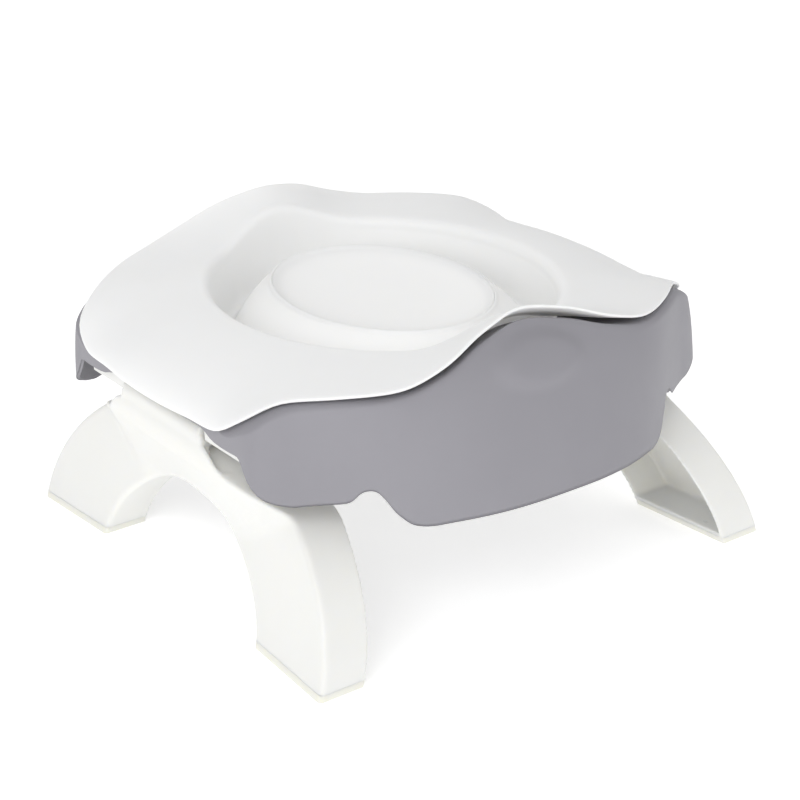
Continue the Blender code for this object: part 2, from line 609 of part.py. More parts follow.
def make_rail(side, sign, looks):
    """White bar under the seat's edge that carries the hinge rod; the knuckle sits in its middle."""
    def put(name, mesh, look=None, origin=(0, 0, 0)):
        if sign < 0:
            mesh = mirror_x(mesh)
            origin = (-origin[0], origin[1], origin[2])
        return add_object(name, mesh, look, origin)

    soft = 0.0020
    sections = []
    for y in np.linspace(-RAIL_HALF, RAIL_HALF, 17):
        outline = [
            (RAIL_INNER_X, RAIL_BOTTOM_Z + soft), (RAIL_INNER_X + soft, RAIL_BOTTOM_Z),
            (RAIL_OUTER_X - soft, RAIL_BOTTOM_Z), (RAIL_OUTER_X, RAIL_BOTTOM_Z + soft),
            (RAIL_OUTER_X, plate_under_z(RAIL_OUTER_X, y) - RAIL_ROOM),
            (RAIL_INNER_X, plate_under_z(RAIL_INNER_X, y) - RAIL_ROOM),
        ]
        sections.append([(x, y, z) for x, z in outline])
    rail = put(f"{side}_hinge_rail", sweep(sections), looks["rail"], (HINGE_X, 0, HINGE_Z))
    room = KNUCKLE_HALF + KNUCKLE_GAP
    wide = 0.02
    window = [(RAIL_INNER_X - wide, RAIL_BOTTOM_Z - wide), (RAIL_OUTER_X + wide, RAIL_BOTTOM_Z - wide),
              (RAIL_OUTER_X + wide, RAIL_ROOF_Z), (RAIL_INNER_X - wide, RAIL_ROOF_Z)]
    boolean(rail, put(f"cut_{side}_window", prism_along_y(window, -room, room)))
    rod_half = RAIL_HALF - ROD_END
    blind = put(f"cut_{side}_rod_bore",
                cylinder((HINGE_X, -rod_half - GAP, HINGE_Z), (HINGE_X, RAIL_HALF + 0.01, HINGE_Z), ROD_BORE, 16))
    boolean(rail, blind)
    seat = put(f"cut_{side}_plug_bore",
               cylinder((HINGE_X, RAIL_HALF - PLUG_LENGTH - GAP, HINGE_Z), (HINGE_X, RAIL_HALF + 0.01, HINGE_Z),
                        PLUG_R + GAP, 16))
    boolean(rail, seat)
    put(f"{side}_hinge_rod",
        cylinder((HINGE_X, -rod_half, HINGE_Z), (HINGE_X, rod_half - GAP, HINGE_Z), ROD_R, 16),
        looks["steel"], (HINGE_X, 0, HINGE_Z))
    put(f"{side}_rod_plug",
        cylinder((HINGE_X, RAIL_HALF - PLUG_LENGTH, HINGE_Z), (HINGE_X, RAIL_HALF, HINGE_Z), PLUG_R, 16),
        looks["rail"], (HINGE_X, RAIL_HALF, HINGE_Z))
    for end, way in ENDS:
        y = way * SCREW_Y
        hole = put(f"cut_{side}_{end}_screw",
                   cylinder((SCREW_X, y, RAIL_BOTTOM_Z - 0.01), (SCREW_X, y, DRILL_HIGH), SCREW_HOLE_R, 12))
        boolean(rail, hole)
        make_screw(put, f"{side}_{end}_rail_screw", y, looks["steel"])
    make_spring(put, side, looks["steel"])


def make_screw(put, name, y, look):
    """Self-tapping screw, head down under the rail, its shank through the rail into the seat plate."""
    head_top = RAIL_BOTTOM_Z - GAP
    tip = plate_under_z(SCREW_X, y) + BODY_THICK * 0.7
    levels = ((head_top - SCREW_HEAD, SCREW_HEAD_R * 0.8), (head_top - SCREW_HEAD * 0.6, SCREW_HEAD_R),
              (head_top, SCREW_HEAD_R), (head_top, SCREW_R), (tip - SCREW_R, SCREW_R), (tip, SCREW_R * 0.5))
    sides = 12
    verts = [(SCREW_X + r * cos(a), y + r * sin(a), z)
             for z, r in levels for a in np.linspace(0, 2 * pi, sides, endpoint=False)]
    faces = []
    for k in range(len(levels) - 1):
        for i in range(sides):
            j = (i + 1) % sides
            faces.append((k * sides + i, k * sides + j, (k + 1) * sides + j, (k + 1) * sides + i))
    faces += [tuple(range(sides))[::-1], tuple(range(len(verts) - sides, len(verts)))]
    put(name, mesh_of(verts, faces), look, (SCREW_X, y, head_top))


def make_spring(put, side, look):
    """Bent steel leaf over the knuckle that clicks it into place."""
    near, far = KNUCKLE_R + 0.0003, KNUCKLE_R + 0.0003 + SPRING_THICK
    angles = np.radians(np.linspace(82, 150, 8))
    outline = [(HINGE_X + far * cos(a), HINGE_Z + far * sin(a)) for a in angles]
    outline += [(HINGE_X + near * cos(a), HINGE_Z + near * sin(a)) for a in angles[::-1]]
    put(f"{side}_detent_spring", prism_along_y(outline, -SPRING_HALF, SPRING_HALF), look,
        (HINGE_X, 0, HINGE_Z + KNUCKLE_R))


def main():
    clear_scene()
    looks = {
        "leg": material("leg_white", WHITE_PP),
        "rail": material("rail_white", WHITE_PP),
        "liner": material("liner_silicone", SILICONE),
        "body": material("body_grey", GREY_PP),
        "pad": material("pad_soft", PAD_TPE),
        "steel": material("steel", STEEL),
    }
    make_body(looks["body"])
    make_liner(looks["liner"])
    make_bowl_wall(looks["liner"])
    make_bowl_cup(looks["liner"])
    for side, sign in SIDES:
        make_rail(side, sign, looks)
        leg_pieces(side, sign, looks)


main()
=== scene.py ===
"""Looks of a fold-leg travel potty with a collapsible silicone liner.

Metres, +Z up, -Y is the front and +X the right-hand leg.  The seat and its liner are lofted from radial
sections that repeat on every quarter turn: 0 degrees is the front (or back) middle and 90 degrees the side
middle.  FRONT_DROP then lowers the front and raises the back.  The legs are swept channels merged with their
necks.  Each fine mesh stands for a plain CAD node.
"""

from math import cos, hypot, pi, radians, sin, tan

import bmesh
import bpy
import numpy as np
from mathutils import Matrix, Vector


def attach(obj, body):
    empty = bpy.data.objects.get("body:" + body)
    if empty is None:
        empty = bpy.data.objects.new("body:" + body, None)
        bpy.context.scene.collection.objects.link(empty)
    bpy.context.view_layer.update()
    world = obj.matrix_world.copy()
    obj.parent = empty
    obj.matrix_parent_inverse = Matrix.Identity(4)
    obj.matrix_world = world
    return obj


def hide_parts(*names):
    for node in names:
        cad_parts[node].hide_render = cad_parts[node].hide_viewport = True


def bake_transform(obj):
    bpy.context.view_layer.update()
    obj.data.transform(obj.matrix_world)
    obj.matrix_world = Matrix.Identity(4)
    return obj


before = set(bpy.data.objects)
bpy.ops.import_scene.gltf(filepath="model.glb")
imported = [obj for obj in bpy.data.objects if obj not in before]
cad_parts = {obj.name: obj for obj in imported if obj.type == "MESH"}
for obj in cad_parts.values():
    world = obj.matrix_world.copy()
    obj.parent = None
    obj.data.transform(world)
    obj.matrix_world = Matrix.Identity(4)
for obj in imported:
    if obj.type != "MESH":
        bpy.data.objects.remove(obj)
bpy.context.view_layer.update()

# ---------------------------------------------------------------- camera and light
CAMERA_AZIMUTH, CAMERA_ELEVATION, CAMERA_ROLL = radians(-34.335), radians(23.549), radians(-2.243)
CAMERA_TARGET = Vector((0.0108, 0.0, 0.0786))
CAMERA_DISTANCE = 1.3664
CAMERA_LENS = 94.083  # mm on a 36 mm sensor
FLOOR_HALF, FLOOR_GLOW = 14.0, 0.40  # the floor glows a little, so that it comes out white
WORLD_LIGHT = 0.64
LIGHTS = (  # name, place, size, watts
    ("key", (-1.55, -1.05, 1.25), 1.3, 16.0),
    ("front", (0.5, -1.8, 1.5), 1.4, 5.0),
    ("back", (0.9, 1.9, 1.3), 1.6, 5.0),
)

# ---------------------------------------------------------------- seat, liner and bowl
TABLE_STEP = 0.25  # degrees between the samples of a smoothed table
LINER_THICK, GUTTER_THICK = 0.0030, 0.0024
RIDGE_RX, RIDGE_RY, RIDGE_Z = 0.1102, 0.1278, 0.1666
GUARD_RISE, GUARD_HALF = 0.0153, 0.0589  # splash guard at the front and the back
FRONT_DROP = 0.0034  # at DROP_RADIUS and the full height: down at the front, up at the back
DROP_RADIUS, DROP_HEIGHT = 0.190, 0.060
RIDGE_SIDE_DROP = 0.0011
CREST_ROUND = 0.0060
LIP = 0.72  # the sheet thins to this share of its thickness at its outer edge
SHEET_ROLL = 0.62  # below 1 the sheet rolls over towards its side edges
GUTTER_RX, GUTTER_RY, GUTTER_Z, GUTTER_HALF = 0.0950, 0.1135, 0.1300, 0.0035
LINER_EDGE = (  # quarter-turn angle, radius, height of the sheet's lower outer corner
    (0.0, 0.1402, 0.1880), (12.0, 0.1491, 0.1825), (22.0, 0.1636, 0.1709), (32.0, 0.1750, 0.1628),
    (42.0, 0.1792, 0.1615), (52.0, 0.1836, 0.1596), (60.0, 0.1928, 0.1460), (66.0, 0.1882, 0.1346),
    (75.0, 0.1798, 0.1345), (90.0, 0.1761, 0.1341),
)
BOWL_RIM_RX, BOWL_RIM_RY, BOWL_RIM_Z = 0.0639, 0.0875, 0.1616
BOWL_THICK, BOWL_BELLY = 0.0024, 0.0018
BOWL_WALL_TOP_Z = BOWL_RIM_Z - 0.0024

BODY_THICK, STRIP_THICK = 0.0028, 0.0022
BODY_CREST = (  # quarter-turn angle, radius, height where the plate turns down into the apron
    (0.0, 0.1430, 0.1800), (12.0, 0.1518, 0.1760), (22.0, 0.1662, 0.1664), (32.0, 0.1778, 0.1590),
    (42.0, 0.1826, 0.1577), (50.0, 0.1866, 0.1560), (54.0, 0.1922, 0.1515), (57.0, 0.1955, 0.1450),
    (60.0, 0.1930, 0.1395), (62.5, 0.1893, 0.1350), (65.0, 0.1850, 0.1340), (68.0, 0.1800, 0.1380),
    (75.0, 0.1730, 0.1415), (90.0, 0.1672, 0.1425),
)
APRON_RADIUS = (  # quarter-turn angle, radius of the apron low down
    (0.0, 0.1875), (12.0, 0.1875), (24.0, 0.1866), (30.0, 0.1854), (37.4, 0.1850), (43.0, 0.1862),
    (48.0, 0.1897), (53.0, 0.1970), (56.0, 0.2003), (58.5, 0.1972), (60.2, 0.1924), (62.5, 0.1888),
    (66.0, 0.1842), (70.0, 0.1772), (75.0, 0.1706), (82.0, 0.1664), (90.0, 0.1648),
)
APRON_FOOT = (  # quarter-turn angle, height of the body's bottom edge
    (0.0, 0.0852), (9.0, 0.0844), (16.0, 0.0835), (23.0, 0.0823), (27.0, 0.0812), (29.5, 0.0822),
    (32.4, 0.0889), (33.6, 0.0936), (34.6, 0.0987), (35.4, 0.1020), (36.2, 0.1045), (37.3, 0.1053),
    (38.5, 0.1047), (39.6, 0.1023), (40.6, 0.0988), (42.3, 0.0974), (50.0, 0.0970), (53.0, 0.0994),
    (54.6, 0.1018), (56.3, 0.1060), (57.8, 0.1108), (58.8, 0.1154), (59.4, 0.1200), (59.9, 0.1240),
    (60.4, 0.1251), (68.0, 0.1251), (72.0, 0.1285), (90.0, 0.1285),
)
APRON_BASE_Z, APRON_BULGE = 0.0852, 0.55
PLATE_ROOM = 0.0009  # between the sheet and the plate under it
GUARD_ROOM = 0.0040  # the splash guard stands clear of the plate at the front and the back
BOSS_Z, BOSS_HALF_X, BOSS_HALF_Z, BOSS_RISE = 0.1620, 0.0330, 0.0145, 0.0032

# ---------------------------------------------------------------- legs
FOOT_X, LEG_BOW, LEG_SPLAY = 0.1628, 0.2217, radians(15.1)
LEG_DEPTH, LEG_WALL, LEG_EDGE = 0.0306, 0.0024, 0.0032
ARCH_HALF, ARCH_TOP, ARCH_POWER = 0.1721, 0.1120, 1.94
OPEN_HALF, OPEN_TOP, OPEN_POWER = 0.0929, 0.0662, 1.70
NECK_HALF, NECK_THICK, NECK_ROOT_Z, SHOULDER_THICK = 0.0480, 0.0080, 0.1030, 0.0028
HOLE_X, HOLE_Y, HOLE_R = 0.1431, 0.1508, 0.0014  # small moulding hole in each foot
FLARE_LOW, FLARE_LOW_RIM, FLARE_HIGH, RIM_FLARE_Y = 0.052, 0.080, 0.1145, 0.110  # where the face turns outwards
HINGE_X, HINGE_Z, KNUCKLE_R, KNUCKLE_HALF, ROD_BORE = 0.1570, 0.1195, 0.0082, 0.0465, 0.0023
NECK_PROFILE = (  # half width, height: from the arch up to the knuckle
    (0.0760, 0.0950), (0.0760, 0.0980), (0.0705, 0.1010), (0.0655, 0.1045), (0.0610, 0.1080), (0.0570, 0.1113),
    (0.0530, 0.1138), (NECK_HALF + 0.001, 0.1152), (NECK_HALF, 0.1170), (NECK_HALF, HINGE_Z),
)
PAD_THICK, FOOT_GAP = 0.0042, 0.0001
CUT_LOW = -0.003  # the sweeps run on below the floor and are cut level afterwards
VOXEL = 0.0011
GRAIN_DEPTH, GLOW_DEPTH = 0.0003, 0.006  # of the surface grain and of light under the surface

SIDES = (("left", -1), ("right", 1))
ENDS = (("front", -1), ("back", 1))


# ---------------------------------------------------------------- mesh helpers
def new_object(name, verts, faces, look):
    mesh = bpy.data.meshes.new(name)
    mesh.from_pydata([tuple(map(float, v)) for v in verts], [], [tuple(map(int, f)) for f in faces])
    return link_mesh(name, mesh, look)


def link_mesh(name, mesh, look):
    shape = bmesh.new()
    shape.from_mesh(mesh)
    bmesh.ops.recalc_face_normals(shape, faces=shape.faces)
    shape.to_mesh(mesh)
    shape.free()
    obj = bpy.data.objects.new(name, mesh)
    bpy.context.scene.collection.objects.link(obj)
    if look:
        mesh.materials.append(look)
    mesh.shade_smooth()
    return obj


def grid_faces(rows, columns, wrap_rows, wrap_columns):
    """Quads between neighbouring points of a grid, numbered row by row."""
    i, j = np.meshgrid(np.arange(rows if wrap_rows else rows - 1),
                       np.arange(columns if wrap_columns else columns - 1), indexing="ij")
    k, m = (i + 1) % rows, (j + 1) % columns
    return np.stack([i * columns + j, i * columns + m, k * columns + m, k * columns + j], -1).reshape(-1, 4)


def ring_object(name, look, quarter_angles, section, drop=0.0):
    """A closed ring lofted through one closed (radius, height) outline for each angle of a quarter turn."""
    outlines = {q: np.array(section(q)) for q in quarter_angles}
    points = []
    for around, q in full_turn(quarter_angles):
        r, z = outlines[q].T
        high = np.clip((z - GUTTER_Z) / DROP_HEIGHT, 0, 1)
        lift = drop * r * sin(around) / DROP_RADIUS * high
        points.append(np.stack([r * cos(around), r * sin(around), z + lift], -1))
    grid = np.array(points)
    return new_object(name, grid.reshape(-1, 3), grid_faces(*grid.shape[:2], True, True), look)


def full_turn(quarter_angles):
    """(plan angle from +X, quarter-turn angle) all the way round, from angles of one quarter."""
    quarter = sorted(quarter_angles, reverse=True)
    turn = []
    for k in range(4):
        part = quarter[:-1] if k % 2 == 0 else quarter[::-1][:-1]
        turn += [(radians(90 * k + (90 - q if k % 2 == 0 else q)), q) for q in part]
    return turn


def rounded(line, rounds=2):
    """The polyline with its corners cut again and again, its two ends kept."""
    line = np.array(line, float)
    for _ in range(rounds):
        cut = np.empty((2 * len(line) - 2, 2))
        cut[0::2] = 0.75 * line[:-1] + 0.25 * line[1:]
        cut[1::2] = 0.25 * line[:-1] + 0.75 * line[1:]
        cut[0], cut[-1] = line[0], line[-1]
        line = cut
    return line


def shifted(line, distance):
    """The polyline moved to the left of its direction of travel; distance may vary along it."""
    along = np.gradient(line, axis=0)
    along /= np.linalg.norm(along, axis=1)[:, None]
    return line + np.stack([-along[:, 1], along[:, 0]], -1) * np.reshape(distance, (-1, 1))


def half_round(start, end, steps=5):
    """Points of the half circle that bulges to the right of start to end, without its two ends."""
    middle, arm = (start + end) / 2, (start - end) / 2
    side = np.array([arm[1], -arm[0]])
    return [middle + arm * cos(a) - side * sin(a) for a in np.linspace(0, pi, steps + 2)[1:-1]]


def evaluated_mesh(obj):
    """The mesh with its modifiers applied; the object itself is removed."""
    bpy.context.view_layer.update()
    mesh = bpy.data.meshes.new_from_object(obj.evaluated_get(bpy.context.evaluated_depsgraph_get()))
    bpy.data.objects.remove(obj)
    return mesh


# ---------------------------------------------------------------- outlines of the seat
QUARTER = np.arange(0.0, 90.01, TABLE_STEP)


def smooth_table(table, column, blur):
    """The table's column at every QUARTER angle, through its points and then blurred by some degrees."""
    xs, ys = [row[0] for row in table], [row[column] for row in table]
    rises = np.diff(ys) / np.diff(xs)
    slopes = [0.0] + [0.0 if a * b <= 0 else 2 * a * b / (a + b) for a, b in zip(rises, rises[1:])] + [0.0]
    k = np.clip(np.searchsorted(xs, QUARTER, side="right") - 1, 0, len(xs) - 2)
    xs, ys, slopes = np.array(xs), np.array(ys), np.array(slopes)
    span = xs[k + 1] - xs[k]
    t = (QUARTER - xs[k]) / span
    values = (ys[k] * (2 * t**3 - 3 * t**2 + 1) + ys[k + 1] * (3 * t**2 - 2 * t**3)
              + span * (slopes[k] * (t**3 - 2 * t**2 + t) + slopes[k + 1] * (t**3 - t**2)))
    reach = int(4 * blur / TABLE_STEP)
    kernel = np.exp(-0.5 * (np.arange(-reach, reach + 1) * TABLE_STEP / blur) ** 2)
    return np.convolve(np.pad(values, reach, mode="reflect"), kernel / kernel.sum(), mode="valid")


EDGE_R, EDGE_Z = smooth_table(LINER_EDGE, 1, 1.6), smooth_table(LINER_EDGE, 2, 1.6)
CREST_R, CREST_Z = smooth_table(BODY_CREST, 1, 0.8), smooth_table(BODY_CREST, 2, 0.8)
LOW_R, FOOT_Z = smooth_table(APRON_RADIUS, 1, 0.8), smooth_table(APRON_FOOT, 1, 0.35)


def at(values, angle):
    return float(np.interp(angle, QUARTER, values))


def ellipse_radius(rx, ry, angle):
    """Radius of an ellipse at an angle measured from its Y axis."""
    a = radians(angle)
    return 1 / hypot(sin(a) / rx, cos(a) / ry)


def ridge(angle):
    """Radius and height of the crest round the opening."""
    radius = ellipse_radius(RIDGE_RX, RIDGE_RY, angle)
    x = radius * sin(radians(angle))
    rise = GUARD_RISE * cos(pi * x / (2 * GUARD_HALF)) ** 2 if x < GUARD_HALF else 0.0
    return radius, RIDGE_Z + rise - RIDGE_SIDE_DROP * (x / RIDGE_RX) ** 2


def sheet_line(angle, stations):
    """Top of the liner's sheet as (radius, height), at shares of the way from its outer edge to the crest."""
    rolled = sin(radians(angle)) ** 2
    edge_r = at(EDGE_R, angle)
    edge_z = at(EDGE_Z, angle) + LINER_THICK * (1 - 0.75 * rolled * rolled) - 0.0006
    crest_r, crest_z = ridge(angle)
    line = []
    for t in stations:
        share = (1 - rolled) * t + rolled * sin(pi / 2 * t**SHEET_ROLL)
        line.append((edge_r + (crest_r - edge_r) * t, edge_z + (crest_z - edge_z) * share))
    return line


# ---------------------------------------------------------------- liner and bowl
def liner_section(q):
    crest_r, crest_z = ridge(q)
    gutter_r = ellipse_radius(GUTTER_RX, GUTTER_RY, q)
    line = sheet_line(q, (0.006, 0.02, 0.05, 0.10, 0.17, 0.26, 0.38, 0.52, 0.66, 0.80, 0.92))
    line += [(crest_r - CREST_ROUND * sin(radians(turn)), crest_z - CREST_ROUND * (1 - cos(radians(turn))))
             for turn in (0, 30, 55, 78)]
    wall_r = crest_r - CREST_ROUND - 0.0002
    low_r = gutter_r + GUTTER_HALF + 0.0022
    line += [(wall_r, crest_z - CREST_ROUND * 1.3),
             (0.6 * wall_r + 0.4 * low_r, 0.6 * crest_z + 0.4 * (GUTTER_Z + 0.006)),
             (low_r, GUTTER_Z + 0.0060), (gutter_r + GUTTER_HALF, GUTTER_Z + 0.0010),
             (gutter_r + 0.0010, GUTTER_Z), (gutter_r - GUTTER_HALF, GUTTER_Z)]
    top = rounded(line)
    way = np.clip((crest_z - 0.010 - top[:, 1]) / 0.012, 0, 1) * (top[:, 0] < crest_r)
    inboard = np.clip((top[0, 0] - top[:, 0]) / 0.010, 0, 1)
    under = shifted(top, (LINER_THICK + (GUTTER_THICK - LINER_THICK) * way) * (LIP + (1 - LIP) * inboard))
    return np.concatenate([top, under[::-1], half_round(under[0], top[0])])


def bowl_wall_section(q):
    gutter_r = ellipse_radius(GUTTER_RX, GUTTER_RY, q) - GUTTER_HALF - 0.0001
    rim_r = ellipse_radius(BOWL_RIM_RX, BOWL_RIM_RY, q) + 0.0006
    line = []
    for t in np.linspace(0, 1, 15):
        belly = BOWL_BELLY * sin(pi * t)
        line.append((gutter_r + (rim_r - gutter_r) * t + belly,
                     GUTTER_Z + (BOWL_WALL_TOP_Z - GUTTER_Z) * t**1.05 + belly))
    line += [(rim_r - 0.0004, BOWL_RIM_Z - 0.0012), (rim_r - 0.0013, BOWL_RIM_Z - 0.0005),
             (rim_r - 0.0022, BOWL_RIM_Z - 0.0003)]
    line = rounded(line, 1)
    return np.concatenate([line, shifted(line, BOWL_THICK)[::-1]])


def bowl_cup(look):
    """The oval rim and the dished disc inside it."""
    z = BOWL_RIM_Z
    outline = rounded([  # share of the rim's radius, height: from the rim's outside over the dish to its middle
        (0.945, z - 0.0044), (0.962, z - 0.0034), (0.972, z - 0.0018), (0.975, z - 0.0008), (0.970, z - 0.0005),
        (0.960, z - 0.0010), (0.938, z - 0.0023), (0.880, z - 0.0043), (0.780, z - 0.0065), (0.600, z - 0.0086),
        (0.350, z - 0.0097), (0.100, z - 0.0100), (0.000, z - 0.0100)])
    under = outline[:, 1].copy() - BOWL_THICK
    under[:8] = np.minimum(under[:8], z - 0.0058)
    levels = np.concatenate([outline[::-1], np.stack([outline[:, 0] * 0.975, under], -1)])
    turn = [(a, ellipse_radius(BOWL_RIM_RX, BOWL_RIM_RY, q)) for a, q in full_turn(np.arange(0, 90.1, 2.5))]
    grid = np.array([[(share * r * cos(a), share * r * sin(a), z) for share, z in levels] for a, r in turn])
    dish = new_object("bowl_dish", grid.reshape(-1, 3), grid_faces(*grid.shape[:2], True, False), look)
    shape = bmesh.new()
    shape.from_mesh(dish.data)
    bmesh.ops.remove_doubles(shape, verts=shape.verts, dist=1e-6)
    bmesh.ops.recalc_face_normals(shape, faces=shape.faces)
    shape.to_mesh(dish.data)
    shape.free()
    return dish


# ---------------------------------------------------------------- seat body
def body_section(q):
    crest_r, crest_z, low_r, foot_z = (at(values, q) for values in (CREST_R, CREST_Z, LOW_R, FOOT_Z))
    ridge_r, ridge_z = ridge(q)
    open_r = ridge_r - CREST_ROUND + LINER_THICK + 0.0021
    sheet = np.array([(ridge_r, ridge_z)] + sheet_line(q, (0.92, 0.8, 0.66, 0.5, 0.35, 0.22, 0.12, 0.05, 0.0)))
    under = shifted(sheet, -(LINER_THICK + PLATE_ROOM))
    room = max(0.0, GUARD_ROOM * cos(radians(min(90, 2 * q))))
    plate = []
    for t in np.linspace(0, 0.90, 12):
        r = open_r + (crest_r - open_r) * t
        z = float(np.interp(r, under[:, 0], under[:, 1]))
        if r > under[-1, 0]:
            z += (crest_z - z) * (r - under[-1, 0]) / (crest_r - under[-1, 0])
        plate.append((r, z - room))
    apron = []
    for t in (0.0, 0.10, 0.17, 0.25, 0.36, 0.48, 0.60, 0.72, 0.84, 0.93, 0.985):
        z = crest_z + (foot_z - crest_z) * t
        w = min(1.0, (crest_z - z) / (crest_z - APRON_BASE_Z))
        share = (1 - APRON_BULGE) * w + APRON_BULGE * (1 - (1 - w) ** 4)
        apron.append((crest_r + (low_r - crest_r) * share, z))
    outer = with_boss(rounded(plate + apron), q)
    thick = BODY_THICK + (STRIP_THICK - BODY_THICK) * sin(radians(q)) ** 2
    inner = shifted(outer, -thick)
    inner[:, 1] = np.maximum(inner[:, 1], foot_z + 0.0006)
    return np.concatenate([outer, half_round(outer[-1], inner[-1]), inner[::-1], half_round(inner[0], outer[0], 3)])


def with_boss(outer, q):
    """Swells the apron outwards into the flat oval at its upper middle."""
    across = outer[:, 0] * sin(radians(q)) / BOSS_HALF_X
    up = (outer[:, 1] - BOSS_Z) / BOSS_HALF_Z
    way = np.clip((1.1 - np.hypot(across, up)) / 0.5, 0, 1)
    way *= outer[:, 0] > at(CREST_R, q) - 0.001
    return shifted(outer, BOSS_RISE * way * way * (3 - 2 * way))


# ---------------------------------------------------------------- legs
def face_x(y, z):
    """Outer face of the right leg: splayed low down, flaring back out to the hinge."""
    y, z = np.asarray(y, float), np.asarray(z, float)
    low = FLARE_LOW + (FLARE_LOW_RIM - FLARE_LOW) * np.minimum(1.0, (y / RIM_FLARE_Y) ** 2)
    t = np.clip((z - low) / (FLARE_HIGH - low), 0, 1)
    reach = HINGE_X + KNUCKLE_R - (FOOT_X - tan(LEG_SPLAY) * FLARE_HIGH)
    plain = FOOT_X + LEG_BOW * y * y - tan(LEG_SPLAY) * np.minimum(z, FLARE_HIGH)
    return plain + reach * t * t * (3 - 2 * t)


def superellipse(half, top, power, t):
    return np.array((half * np.sign(cos(t)) * abs(cos(t)) ** (2 / power), top * max(sin(t), 0.0) ** (2 / power)))


def arch_sweep(name, inset, outline_of, low, high):
    """Sweeps an (along, depth) outline from foot to foot between the arch and its opening, cut level."""
    rows = []
    steps = 120  # stations from foot to foot
    for k in range(steps + 1):
        t = pi * k / steps
        outer = superellipse(ARCH_HALF - inset, ARCH_TOP - inset, ARCH_POWER, t)
        inner = superellipse(OPEN_HALF + inset, OPEN_TOP + inset, OPEN_POWER, t)
        if k in (0, steps):
            outer[1] = inner[1] = 2 * CUT_LOW
        width = float(np.linalg.norm(outer - inner))
        flat = np.array(outline_of(width))
        y, z = (outer + (inner - outer) / width * flat[:, :1]).T
        rows.append(np.stack([face_x(y, z) - flat[:, 1], y, z], -1))
    grid = np.array(rows)
    columns = grid.shape[1]
    faces = [tuple(f) for f in grid_faces(*grid.shape[:2], False, True)]
    faces += [tuple(range(columns)), tuple(range(steps * columns, (steps + 1) * columns))[::-1]]
    obj = new_object(name, grid.reshape(-1, 3), faces, None)
    cut_level(obj.data, low, high)
    return obj


def cut_level(mesh, low, high):
    """Keeps what lies between two heights and closes the cuts."""
    shape = bmesh.new()
    shape.from_mesh(mesh)
    for height, keep_above in ((low, True), (high, False)):
        bmesh.ops.bisect_plane(shape, geom=shape.verts[:] + shape.edges[:] + shape.faces[:], dist=1e-7,
                               plane_co=(0, 0, height), plane_no=(0, 0, 1),
                               clear_inner=keep_above, clear_outer=not keep_above)
        bmesh.ops.holes_fill(shape, edges=[e for e in shape.edges if e.is_boundary])
    bmesh.ops.recalc_face_normals(shape, faces=shape.faces)
    bmesh.ops.triangulate(shape, faces=shape.faces)
    shape.to_mesh(mesh)
    shape.free()


def quarter_arc(centre, radius, start, end, steps=6):
    """Points of an arc in (along, depth), angles in degrees."""
    return [(centre[0] + radius * cos(a), centre[1] + radius * sin(a))
            for a in np.radians(np.linspace(start, end, steps))]


def channel_outline(width):
    """Cross-section of the hollow leg: the outer face and its two rims, open on the inner side."""
    e, w, d, i = LEG_EDGE, LEG_WALL, LEG_DEPTH, LEG_EDGE - LEG_WALL
    near, far = (e, e), (width - e, e)
    outside = [(0, d)] + quarter_arc(near, e, 180, 270) + quarter_arc(far, e, 270, 360) + [(width, d)]
    inside = [(width - w, d)] + quarter_arc(far, i, 360, 270) + quarter_arc(near, i, 270, 180) + [(w, d)]
    return outside + inside


def solid_outline(width, depth, deep_round=0.0):
    """Cross-section of a full leg, with its two inner corners square or rounded."""
    e, near, far = LEG_EDGE, [(0, depth)], [(width, depth)]
    if deep_round:
        near = quarter_arc((deep_round, depth - deep_round), deep_round, 90, 180, 4)
        far = quarter_arc((width - deep_round, depth - deep_round), deep_round, 0, 90, 4)
    return near + quarter_arc((e, e), e, 180, 270) + quarter_arc((width - e, e), e, 270, 360) + far


def neck_object(name):
    """Plate between the arch and the knuckle: a thin shoulder on each side passes outside the hinge rail."""
    rows = []
    for half, z in rounded(NECK_PROFILE):
        y = np.linspace(-half, half, 61)
        front = np.stack([face_x(y, z) - 0.0001, y, np.full_like(y, z)], -1)
        thick = NECK_THICK if z < NECK_ROOT_Z else np.where(np.abs(y) < NECK_HALF, NECK_THICK, SHOULDER_THICK)
        behind = front - np.stack([np.broadcast_to(thick, y.shape), 0 * y, 0 * y], -1)
        rows.append(np.concatenate([front, behind[::-1]]))
    grid = np.array(rows)
    count = grid.shape[1]
    faces = [tuple(f) for f in grid_faces(*grid.shape[:2], False, True)]
    faces += [tuple(range(count)), tuple(range((len(rows) - 1) * count, len(rows) * count))[::-1]]
    return new_object(name, grid.reshape(-1, 3), faces, None)


def bar(name, start, end, radius, sides=48):
    """A closed round bar between two points."""
    start, end = Vector(start), Vector(end)
    shape = bmesh.new()
    bmesh.ops.create_cone(shape, cap_ends=True, segments=sides, radius1=radius, radius2=radius,
                          depth=(end - start).length)
    turn = (end - start).to_track_quat("Z", "Y").to_matrix().to_4x4()
    bmesh.ops.transform(shape, matrix=Matrix.Translation((start + end) / 2) @ turn, verts=shape.verts)
    mesh = bpy.data.meshes.new(name)
    shape.to_mesh(mesh)
    shape.free()
    return link_mesh(name, mesh, None)


def merged(objects):
    """One mesh of overlapping closed shapes, remeshed so that they blend like one moulding."""
    shape = bmesh.new()
    for obj in objects:
        shape.from_mesh(obj.data)
        bpy.data.objects.remove(obj)
    mesh = bpy.data.meshes.new("merged")
    shape.to_mesh(mesh)
    shape.free()
    obj = bpy.data.objects.new("merged", mesh)
    bpy.context.scene.collection.objects.link(obj)
    remesh = obj.modifiers.new("remesh", "REMESH")
    remesh.mode = "VOXEL"
    remesh.voxel_size = VOXEL
    remesh.use_smooth_shade = True
    smooth = obj.modifiers.new("smooth", "SMOOTH")
    smooth.factor, smooth.iterations = 0.5, 4
    return evaluated_mesh(obj)


